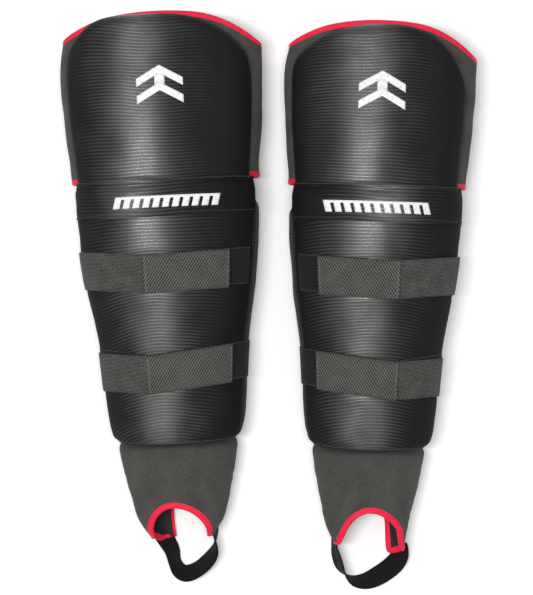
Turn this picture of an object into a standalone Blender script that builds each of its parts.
"""A pair of soft hockey shin guards lying on their backs: +X right, +Y up the leg, +Z off the floor."""

import math

import bpy
from mathutils import Matrix, Vector

MM = 0.001

# The pair: where each guard's knee seam lies, its lean on the floor, and how far its sides are drawn in.
LEFT_PLACE = dict(x=-101.522, y=112.145, lean=2.6, narrow=1.0, tall=1.0)
RIGHT_PLACE = dict(x=109.278, y=106.145, lean=1.75, narrow=0.945, tall=1.04)

# Sections along the leg, from the knee seam at 0: (position, half width, crown height).
KNEE_SECTIONS = ((-6, 93.0, 77.0), (12, 94.0, 77.5), (70, 99.5, 78.5), (125, 101.5, 78.0), (185, 99.5, 76.0))
SHIN_SECTIONS = ((-263, 59.5, 56.0), (-236, 68.0, 59.5), (-155, 75.5, 67.0), (-100, 85.0, 72.5), (-40, 91.2, 76.0),
                 (6, 92.0, 77.0))
SLEEVE_SECTIONS = ((-375, 41.5, 40.0), (-345, 43.0, 41.0), (-318, 47.5, 42.0), (-286, 55.0, 43.0), (-258, 60.0, 44.0))
SQUARENESS = 2.25

# Cloth, plastic and foam thicknesses.
CLOTH = 1.2
NEOPRENE = 2.4
SHELL = 2.4
LINER = 1.2
KNEE_FOAM = 10.0
SHIN_FOAM = 9.0
SKIN_GAP = 0.4
WEBBING = 1.6

# Lengths of the pads.
KNEE_PEAK = 172.0
CUFF_PEAK = 171.5
CUFF_SIDE = 148.0
SHIN_END = -257.0
SLEEVE_START = -258.5
KNEE_STEP = 360.0 / 34
PAD_ANGLE = 6 * KNEE_STEP
KNEE_SHELL_ANGLE = 5 * KNEE_STEP
KNEE_BASE_DROP = KNEE_FOAM + SHELL + CLOTH + 3 * SKIN_GAP
SHIN_STEP = 9.0
SHIN_RIM_ANGLE = 10 * SHIN_STEP
SHIN_SHELL_ANGLE = 7 * SHIN_STEP
KNEE_TIP = 15.0
ANKLE_TIP = 10.0

# Straps.
STRAP_WIDTH = 38.0
UPPER_STRAP_AT = -84.5
LOWER_STRAP_AT = -184.0


def clear_scene():
    for obj in list(bpy.data.objects):
        bpy.data.objects.remove(obj, do_unlink=True)


def material(name, colour, roughness, sheen=0.0, metallic=0.0):
    mat = bpy.data.materials.new(name)
    mat.use_nodes = True
    shader = mat.node_tree.nodes["Principled BSDF"]
    shader.inputs["Base Color"].default_value = (*colour, 1.0)
    shader.inputs["Roughness"].default_value = roughness
    shader.inputs["Sheen Weight"].default_value = sheen
    shader.inputs["Metallic"].default_value = metallic
    return mat


def smooth(t):
    t = min(1.0, max(0.0, t))
    return t * t * (3 - 2 * t)


def signed_power(value, power):
    return math.copysign(abs(value) ** power, value)


def section_at(table, y):
    """Half width and crown height at y, with a smooth curve through the stations."""
    if y <= table[0][0]:
        return table[0][1], table[0][2]
    for i in range(len(table) - 1):
        a, b = table[i], table[i + 1]
        if y <= b[0]:
            before = table[max(i - 1, 0)]
            after = table[min(i + 2, len(table) - 1)]
            t = (y - a[0]) / (b[0] - a[0])
            out = []
            for k in (1, 2):
                start = (b[k] - before[k]) / (b[0] - before[0]) * (b[0] - a[0])
                end = (after[k] - a[k]) / (after[0] - a[0]) * (b[0] - a[0])
                out.append((2 * t ** 3 - 3 * t ** 2 + 1) * a[k] + (t ** 3 - 2 * t ** 2 + t) * start
                           + (3 * t ** 2 - 2 * t ** 3) * b[k] + (t ** 3 - t ** 2) * end)
            return out[0], out[1]
    return table[-1][1], table[-1][2]


class Guard:
    """The surfaces of one guard in its own frame, in mm, and its placing on the floor."""

    def __init__(self, side, place):
        self.side = side
        self.mirror = -1.0 if side == "right" else 1.0
        self.narrow = place["narrow"]
        self.tall = place["tall"]
        turn = Matrix.Rotation(math.radians(place["lean"]) * self.mirror, 4, "Z")
        shift = Matrix.Translation((place["x"] * MM, place["y"] * MM, 0.0))
        self.matrix = shift @ turn @ Matrix.Diagonal((self.mirror, 1.0, 1.0, 1.0))

    def ring(self, table, y, angle, height, drop, side_drop, middle, under):
        """A point of a rounded ring section, moved outwards by height. The angle counts from the crown."""
        w, h = section_at(table, y)
        w = w * self.narrow - side_drop
        top = h * self.tall - drop
        zc = middle * top
        turn = math.radians(angle)
        s, c = math.sin(turn), math.cos(turn)
        half = (top - zc) if c > 0 else zc + under
        px = signed_power(s, 2 / SQUARENESS)
        pz = signed_power(c, 2 / SQUARENESS)
        nx = signed_power(px, SQUARENESS - 1) / w
        nz = signed_power(pz, SQUARENESS - 1) / half
        size = math.hypot(nx, nz)
        return Vector((w * px + height * nx / size, y, zc + half * pz + height * nz / size))

    def cuff(self, angle, y, height):
        """The knee tube: its outer face is at height 0, and its underside is flat on the floor."""
        point = self.ring(KNEE_SECTIONS, y, angle, height, KNEE_BASE_DROP, 0.0, 0.44, 3.0)
        point.z = max(point.z, -min(height, 0.0))
        return point

    def shin(self, angle, y, height):
        """The shin arch: its inner face is at height 0."""
        return self.ring(SHIN_SECTIONS, y, angle, height, LINER + SHIN_FOAM + SHELL + CLOTH + 3 * SKIN_GAP,
                         7.7, 0.09, 0.0)

    def sleeve(self, angle, y, height):
        """The ankle tube: its outer face is at height 0, and its underside is flat on the floor."""
        point = self.ring(SLEEVE_SECTIONS, y, angle, height, 0.0, 0.0, 0.46, 2.0)
        point.z = max(point.z, -min(height, 0.0))
        return point

    # Layer heights over the base surface, as functions of the angle.
    def knee_foam_top(self, angle):
        return SKIN_GAP + 2.6 + (KNEE_FOAM - 2.6) * smooth((PAD_ANGLE - abs(angle)) / 26.0)

    def knee_shell_top(self, angle):
        return self.knee_foam_top(angle) + SKIN_GAP + SHELL

    def knee_cover_inner(self, angle):
        over_shell = smooth((PAD_ANGLE - abs(angle)) / (PAD_ANGLE - KNEE_SHELL_ANGLE))
        return self.knee_foam_top(angle) + SKIN_GAP + (SHELL + SKIN_GAP) * over_shell

    def shin_foam_top(self, angle):
        return LINER + SKIN_GAP + 4.5 + (SHIN_FOAM - 4.5) * smooth((SHIN_RIM_ANGLE - abs(angle)) / 36.0)

    def shin_cover_inner(self, angle):
        over_shell = smooth((SHIN_SHELL_ANGLE + SHIN_STEP - abs(angle)) / SHIN_STEP)
        return self.shin_foam_top(angle) + SKIN_GAP + (SHELL + SKIN_GAP) * over_shell

    def shin_outer(self, angle):
        return self.shin_cover_inner(angle) + CLOTH

    def knee_axis_height(self):
        return section_at(KNEE_SECTIONS, 0.0)[1] * self.tall

    def ankle_axis_height(self):
        return section_at(SLEEVE_SECTIONS, SLEEVE_START)[1] * self.tall


def add_mesh(guard, name, points, faces, mat, origin=None):
    """A node from points in the guard's frame, in mm. The origin, if any, is on the joint's axis."""
    mesh = bpy.data.meshes.new(guard.side + "_" + name)
    placed = [guard.matrix @ (Vector(p) * MM) for p in points]
    centre = guard.matrix @ (Vector(origin) * MM) if origin else Vector((0, 0, 0))
    if guard.mirror < 0:
        faces = [tuple(reversed(face)) for face in faces]
    mesh.from_pydata([p - centre for p in placed], [], faces)
    mesh.materials.append(mat)
    obj = bpy.data.objects.new(guard.side + "_" + name, mesh)
    obj.location = centre
    bpy.context.scene.collection.objects.link(obj)
    return obj


def sheet_faces(rows, cols, ring):
    """Faces of a closed body from two layers of rows by cols points, the outer layer first."""
    faces = []
    count = rows * cols
    spans = cols if ring else cols - 1
    for i in range(rows - 1):
        for j in range(spans):
            a = i * cols + j
            b = i * cols + (j + 1) % cols
            c = b + cols
            d = a + cols
            faces += [(a, b, c), (a, c, d)]
            faces += [(c + count, b + count, a + count), (d + count, c + count, a + count)]
    for j in range(spans):
        a = j
        b = (j + 1) % cols
        faces.append((b, a, a + count, b + count))
        a = (rows - 1) * cols + j
        b = (rows - 1) * cols + (j + 1) % cols
        faces.append((a, b, b + count, a + count))
    if not ring:
        for i in range(rows - 1):
            a = i * cols
            d = a + cols
            faces.append((a, d, d + count, a + count))
            a = i * cols + cols - 1
            d = a + cols
            faces.append((d, a, a + count, d + count))
    return faces


def layer(guard, name, surface, angles, low, high, outer, inner, rows, mat, ring=False, origin=None):
    """A sheet between two heights over a surface. low and high give the end positions at an angle and height."""
    points = []
    for height_of in (outer, inner):
        for i in range(rows):
            for angle in angles:
                height = height_of(angle)
                start = low(angle, height)
                end = high(angle, height)
                points.append(surface(angle, start + (end - start) * i / (rows - 1), height))
    return add_mesh(guard, name, points, sheet_faces(rows, len(angles), ring), mat, origin)


def stations(first, last, step):
    """Angles from first to last, taking every whole step between them, so that layers share their facets."""
    between = [k * step for k in range(-40, 41) if first + 0.12 * step < k * step < last - 0.12 * step]
    return [first] + between + [last]


def edge_bar(guard, name, path, surface, centre, gap, width, low, high, mat, closed, rounding=0.0):
    """A tape along an edge of a sheet: path lists (angle, y), and centre is a point the tape faces away from."""
    points = []
    count = len(path)
    for i, (angle, y) in enumerate(path):
        here = surface(angle, y, 0.0)
        normal = (surface(angle, y, 1.0) - surface(angle, y, 0.0)).normalized()
        ahead = path[(i + 1) % count] if closed else path[min(i + 1, count - 1)]
        behind = path[(i - 1) % count] if closed else path[max(i - 1, 0)]
        tangent = (surface(*ahead, 0.0) - surface(*behind, 0.0)).normalized()
        out = tangent.cross(normal).normalized()
        if closed or centre is None:
            sign = 1.0 if out.y * (1 if centre == "up" else -1) > 0 else -1.0
        else:
            sign = 1.0 if (here - surface(*centre, 0.0)).dot(out) > 0 else -1.0
        out = out * sign
        far = gap + width
        ring = ((gap, high), (far - rounding, high), (far, high - rounding), (far, low + rounding),
                (far - rounding, low), (gap, low))
        for along, height in ring:
            point = here + out * along + normal * height
            point.z = max(point.z, 0.0)
            points.append(point)
    sides = 6
    faces = []
    for i in range(count if closed else count - 1):
        for k in range(sides):
            a = i * sides + k
            b = i * sides + (k + 1) % sides
            c = ((i + 1) % count) * sides + (k + 1) % sides
            d = ((i + 1) % count) * sides + k
            faces.append((a, b, c, d))
    if not closed:
        faces.append(tuple(reversed(range(sides))))
        faces.append(tuple(range((count - 1) * sides, count * sides)))
    faces = outward(points, faces)
    return add_mesh(guard, name, points, faces, mat)


def outward(points, faces):
    """Turns every face round if the body is inside out."""
    volume = 0.0
    for face in faces:
        for i in range(1, len(face) - 1):
            volume += points[face[0]].dot(points[face[i]].cross(points[face[i + 1]]))
    return faces if volume > 0 else [tuple(reversed(face)) for face in faces]


def knee_top(angle):
    """Top edge of the knee pad: an arch with rounded shoulders."""
    share = abs(angle) / PAD_ANGLE
    return KNEE_PEAK - 22.0 * share ** 2.4 - 28.0 * smooth((share - 0.8) / 0.2) ** 2


def cuff_top(angle):
    share = abs(angle) / 100.0
    return CUFF_SIDE + (CUFF_PEAK - CUFF_SIDE) * (1.0 - smooth(share))


def sleeve_end(angle):
    """Lower edge of the ankle sleeve: an arch at the front and a lower one at the back, with a lobe each side."""
    lobe = abs(math.sin(math.radians(angle))) ** 1.5
    return -316.0 - 33.0 * lobe if abs(angle) <= 90.0 else -327.0 - 22.0 * lobe


def shin_end(angle):
    """Lower edge of the shin pad, with rounded corners."""
    share = max(0.0, (abs(angle) - 45.0) / (SHIN_RIM_ANGLE - 45.0))
    return SHIN_END + 2.0 * (angle / 60.0) ** 2 + 22.0 * share ** 2.2


def knee_pad(guard, mats):
    """The knee cap: foam on the tube's front, a hard shell and the ribbed cover."""
    axis = (0.0, 0.0, guard.knee_axis_height())
    wide = stations(-PAD_ANGLE, PAD_ANGLE, KNEE_STEP)
    small = stations(-KNEE_SHELL_ANGLE, KNEE_SHELL_ANGLE, KNEE_STEP)
    layer(guard, "knee_foam", guard.cuff, wide, lambda a, h: 3.0, lambda a, h: knee_top(a) - 4.0,
          guard.knee_foam_top, lambda a: SKIN_GAP, 7, mats["foam"], origin=axis)
    layer(guard, "knee_shell", guard.cuff, small, lambda a, h: 4.0, lambda a, h: knee_top(a) - 7.0,
          guard.knee_shell_top, lambda a: guard.knee_foam_top(a) + SKIN_GAP, 7, mats["shell"], origin=axis)
    layer(guard, "knee_cover", guard.cuff, wide, lambda a, h: 0.35, knee_top_of,
          lambda a: guard.knee_cover_inner(a) + CLOTH, guard.knee_cover_inner, 9, mats["satin"], origin=axis)


def knee_top_of(angle, height):
    return knee_top(angle)


def knee_cuff(guard, mats):
    """The neoprene tube round the knee with red tape on both edges."""
    axis = (0.0, 0.0, guard.knee_axis_height())
    angles = [KNEE_STEP * i - 180.0 for i in range(34)]
    layer(guard, "knee_cuff", guard.cuff, angles, lambda a, h: 8.0, lambda a, h: cuff_top(a),
          lambda a: 0.0, lambda a: -NEOPRENE, 7, mats["neoprene"], ring=True, origin=axis)
    top = [(a, cuff_top(a)) for a in angles]
    bottom = [(a, 8.0) for a in angles]
    edge_bar(guard, "cuff_top_binding", top, guard.cuff, "up", 0.4, 3.6, -NEOPRENE - 0.8, 0.3, mats["red"], True, 0.7)
    edge_bar(guard, "cuff_bottom_binding", bottom, guard.cuff, "down", 0.4, 3.4, -NEOPRENE - 0.8, 0.2,
             mats["red"], True, 0.7)


def shin_top(guard, base):
    """The top edge of a shin layer, cut back down the sides so the knee can tip."""
    lean = math.tan(math.radians(KNEE_TIP))

    def edge(angle, height):
        y = -base
        for _ in range(8):
            z = guard.shin(angle, y, height).z
            y = -base - (guard.knee_axis_height() + 1.0 - z) * lean
        return y
    return edge


def shin_pad(guard, mats):
    """The shin panel: liner, foam, hard plate, ribbed cover and an edge tape."""
    rim = SHIN_RIM_ANGLE
    wide = stations(-rim, rim, SHIN_STEP)
    small = stations(-SHIN_SHELL_ANGLE, SHIN_SHELL_ANGLE, SHIN_STEP)
    top = shin_top(guard, 0.7)
    inner_top = shin_top(guard, 1.2)
    layer(guard, "shin_liner", guard.shin, wide, lambda a, h: shin_end(a), inner_top,
          lambda a: LINER, lambda a: 0.0, 11, mats["lining"])
    layer(guard, "shin_foam", guard.shin, wide, lambda a, h: shin_end(a), inner_top,
          guard.shin_foam_top, lambda a: LINER + SKIN_GAP, 11, mats["foam"])
    layer(guard, "shin_shell", guard.shin, small, lambda a, h: shin_end(a) + 2.0, shin_top(guard, 2.5),
          lambda a: guard.shin_foam_top(a) + SKIN_GAP + SHELL, lambda a: guard.shin_foam_top(a) + SKIN_GAP,
          11, mats["shell"])
    layer(guard, "shin_cover", guard.shin, wide, lambda a, h: shin_end(a), top,
          guard.shin_outer, guard.shin_cover_inner, 11, mats["satin"])


def band(guard, mats):
    """The cloth band across the top of the shin panel, up to the knee seam."""
    angles = stations(-9 * SHIN_STEP, 9 * SHIN_STEP, SHIN_STEP)
    lift = 1.3
    layer(guard, "front_band", guard.shin, angles, lambda a, h: -31.0 + 4.0 * smooth((abs(a) - 63.0) / 18.0),
          lambda a, h: -0.4, lambda a: guard.shin_outer(a) + lift + CLOTH, lambda a: guard.shin_outer(a) + lift,
          3, mats["satin"])


def raised(guard, name, corners, cells, surface, low, high, mat):
    """A thin raised mark: flat cells of (across, along) corners laid on a curved surface, in mm."""
    count = len(corners)
    points = [lay(surface, across, along, height) for height in (high, low) for across, along in corners]
    faces = []
    edges = [(cell[i], cell[(i + 1) % len(cell)]) for cell in cells for i in range(len(cell))]
    for cell in cells:
        faces.append(tuple(cell))
        faces.append(tuple(k + count for k in reversed(cell)))
    for i, j in edges:
        if (j, i) not in edges:
            faces.append((j, i, i + count, j + count))
    return add_mesh(guard, name, points, outward(points, faces), mat)


def lay(surface, across, along, height):
    """The point of a surface at a distance across from the crown."""
    low, high = -90.0, 90.0
    for _ in range(26):
        angle = 0.5 * (low + high)
        if surface(angle, along, height).x < across:
            low = angle
        else:
            high = angle
    return surface(0.5 * (low + high), along, height)


def strap(guard, label, at, stitch, tab_end, mats):
    """An elastic strap: sewn inside one side, round the calf and over the front, where a hook tab holds it."""
    ends = (at - 0.5 * STRAP_WIDTH, at, at + 0.5 * STRAP_WIDTH)

    def on_cover(angle, y, lift):
        return guard.shin(angle, y, guard.shin_outer(angle) + lift)

    def angle_at(across, lift):
        low, high = -90.0, 90.0
        for _ in range(26):
            angle = 0.5 * (low + high)
            if on_cover(angle, at, lift).x < across * guard.narrow:
                low = angle
            else:
                high = angle
        return 0.5 * (low + high)

    def piece(name, first, last, lift, thickness, trim, mat, origin=None):
        points = []
        angles = stations(first, last, SHIN_STEP)
        for side in (1, 0):
            for y in (ends[0] + trim, at, ends[2] - trim):
                points += [on_cover(angle, y, lift + thickness * side) for angle in angles]
        return add_mesh(guard, label + name, points, outward(points, sheet_faces(3, len(angles), False)), mat,
                        tuple(origin) if origin else None)

    low_lift, tab_lift = 0.8, 3.2
    shoulder = -6 * SHIN_STEP
    stitch_angle = angle_at(stitch, tab_lift)
    end_angle = angle_at(tab_end, tab_lift)
    pivot = on_cover(shoulder, at, low_lift + WEBBING)
    stitch_pivot = on_cover(stitch_angle, at, tab_lift + 1.4)

    piece("_loop_patch", angle_at(tab_end - 54.0, 0.3), angle_at(tab_end + 19.5, 0.3), 0.3, 1.0, 0.5, mats["loop"])
    piece("_strap_front", shoulder + 0.4, stitch_angle + 4.0, low_lift, WEBBING, 0.0, mats["webbing"], pivot)
    piece("_strap_tab", stitch_angle, end_angle, tab_lift, 1.4, 0.0, mats["webbing"], stitch_pivot)
    piece("_hook_patch", angle_at(tab_end - 50.0, 1.7), end_angle - 1.0, 1.7, 1.1, 2.0, mats["hook"], stitch_pivot)

    # The calf part: down the outside of one side, flat along the floor, and up inside the other.
    points = []
    for outer in (1, 0):
        for y in ends:
            for angle in (shoulder - 1.8, -63.0, -72.0, -81.0, -90.0):
                points.append(on_cover(angle, y, low_lift + WEBBING * outer))
            near = on_cover(-90.0, y, low_lift).x
            far = guard.shin(90.0, y, -0.5).x
            for x, z, out_x, out_z in ((near, 3.3, near - 1.2, 1.7), (near + 1.5, WEBBING, near + 0.6, 0.0),
                                       (near + 9.0, WEBBING, near + 9.0, 0.0), (0.0, WEBBING, 0.0, 0.0),
                                       (far - 11.0, WEBBING, far - 11.0, 0.0), (far - 3.2, WEBBING, far - 2.3, 0.0),
                                       (far - WEBBING, 3.3, far - 0.4, 1.7)):
                points.append(Vector((out_x, y, out_z)) if outer else Vector((x, y, z)))
            for angle in (90.0, 81.0, 72.0):
                points.append(guard.shin(angle, y, -0.5 - WEBBING * (1 - outer)))
    add_mesh(guard, label + "_strap_calf", points, outward(points, sheet_faces(3, 15, False)), mats["webbing"])


def ankle(guard, mats):
    """The neoprene sleeve over the ankle with its red tape."""
    axis = (0.0, SLEEVE_START, guard.ankle_axis_height())
    lean = math.tan(math.radians(ANKLE_TIP))
    angles = [360.0 * i / 28 - 180.0 for i in range(28)]

    def start(angle, height):
        z = guard.sleeve(angle, SLEEVE_START, height).z
        low = guard.shin(90.0, SHIN_END, 0.0).z
        crown = guard.shin(0.0, SHIN_END, 0.0).z
        share = min(1.0, max(0.0, (z - low) / (crown - low)))
        beside = math.degrees(math.acos(share ** (0.5 * SQUARENESS)))
        return shin_end(beside) - 1.6 - (guard.ankle_axis_height() - z) * lean

    layer(guard, "ankle_sleeve", guard.sleeve, angles, lambda a, h: sleeve_end(a), start,
          lambda a: 0.0, lambda a: -NEOPRENE, 7, mats["neoprene"], ring=True, origin=axis)
    path = [(a, sleeve_end(a)) for a in angles]
    edge_bar(guard, "ankle_binding", path, guard.sleeve, "down", 0.4, 5.0, -NEOPRENE - 0.9, 0.7, mats["red"], True, 1.1)


def stirrup(guard, mats):
    """The webbing loop under the foot: from one lobe, round and up to the other, its faces tilting as it goes."""
    start = -344.0
    inside = guard.sleeve(90.0, start, -NEOPRENE - 8.9)
    half, middle = inside.x, inside.z
    width, thick, reach, tail, count = 20.0, 1.8, 42.0, 12.0, 26
    points = []
    for i in range(count):
        t = i / (count - 1)
        arc = math.pi * min(1.0, max(0.0, (t - 0.12) / 0.76))
        along = tail * min(1.0, t / 0.12, (1.0 - t) / 0.12)
        loose = smooth((t - 0.1) / 0.22) * smooth((0.9 - t) / 0.22)
        tilt = math.radians(50.0) * loose
        rest = 0.5 * width * math.cos(tilt) + 0.8
        x = -half * signed_power(math.cos(arc), 0.85) + 6.0 * math.sin(arc)
        y = start - along - (reach - tail) * math.sin(arc) ** 0.9
        centre = Vector((x, y, middle + (rest - middle) * loose))
        away = Vector((-math.cos(arc), -math.sin(arc), 0.0))
        up = Vector((0.0, 0.0, 1.0))
        across = up * math.cos(tilt) - away * math.sin(tilt)
        face = away * math.cos(tilt) + up * math.sin(tilt)
        for a, b in ((-0.5, -0.5), (0.5, -0.5), (0.5, 0.5), (-0.5, 0.5)):
            point = centre + across * width * a + face * thick * b
            point.z = max(point.z, 0.0)
            points.append(point)
    faces = []
    for i in range(count - 1):
        for k in range(4):
            a = i * 4 + k
            b = i * 4 + (k + 1) % 4
            faces.append((a, b, b + 4, a + 4))
    last = (count - 1) * 4
    faces += [(3, 2, 1, 0), (last, last + 1, last + 2, last + 3)]
    add_mesh(guard, "stirrup_strap", points, outward(points, faces), mats["stirrup"], (0.0, start - 3.0, middle))


def marks(guard, mats):
    """Plain marks: a double chevron on the knee and a slanted bar with notches on the band."""
    def knee(angle, y, height):
        return guard.cuff(angle, y, guard.knee_cover_inner(angle) + CLOTH + height)

    def over_band(angle, y, height):
        return guard.shin(angle, y, guard.shin_outer(angle) + 1.3 + CLOTH + height)

    reach, rise, thick, step, neck, y = 23.0, 13.0, 8.0, 17.0, 5.0, 80.0
    across = (-reach, -neck, 0.0, neck, reach)
    corners = []
    for base in (y, y + thick, y + step, y + step + thick):
        corners += [(x, base + rise * (1.0 - abs(x) / reach)) for x in across]
    cells = [(i, i + 1, i + 6, i + 5) for i in (0, 1, 2, 3, 6, 7, 10, 11, 12, 13)]
    raised(guard, "emblem", corners, cells, knee, 0.4, 0.9, mats["print"])

    top, rail, bottom, slant, bar, gap, count = -10.0, -12.6, -21.5, 3.0, 6.5, 3.2, 11
    start = -0.5 * (count * bar + (count - 1) * gap)
    corners = []
    cells = []
    for i in range(count):
        for x in (start + i * (bar + gap), start + i * (bar + gap) + bar):
            corners += [(x, bottom), (x + 0.75 * slant, rail), (x + slant, top)]
        k = 6 * i
        cells += [(k, k + 3, k + 4, k + 1), (k + 1, k + 4, k + 5, k + 2)]
        if i < count - 1:
            cells.append((k + 4, k + 7, k + 8, k + 5))
    raised(guard, "band_mark", corners, cells, over_band, 0.4, 0.9, mats["print"])


def build_guard(side, place, mats):
    guard = Guard(side, place)
    knee_pad(guard, mats)
    knee_cuff(guard, mats)
    shin_pad(guard, mats)
    band(guard, mats)
    marks(guard, mats)
    strap(guard, "upper", UPPER_STRAP_AT, -20.0, 60.0, mats)
    strap(guard, "lower", LOWER_STRAP_AT, -22.0, 58.0, mats)
    ankle(guard, mats)
    stirrup(guard, mats)


def main():
    clear_scene()
    mats = {
        "satin": material("satin", (0.012, 0.012, 0.014), 0.45, 0.3),
        "neoprene": material("neoprene", (0.075, 0.073, 0.066), 0.85, 0.2),
        "red": material("red", (0.9, 0.012, 0.05), 0.6),
        "shell": material("shell", (0.03, 0.03, 0.035), 0.35),
        "foam": material("foam", (0.2, 0.2, 0.21), 0.9),
        "lining": material("lining", (0.05, 0.05, 0.055), 0.9),
        "webbing": material("webbing", (0.07, 0.068, 0.064), 0.8),
        "loop": material("loop", (0.012, 0.012, 0.012), 0.95),
        "hook": material("hook", (0.02, 0.02, 0.02), 0.7),
        "stirrup": material("stirrup", (0.025, 0.022, 0.02), 0.7),
        "print": material("print", (0.75, 0.75, 0.75), 0.5),
    }
    build_guard("left", LEFT_PLACE, mats)
    build_guard("right", RIGHT_PLACE, mats)


main()
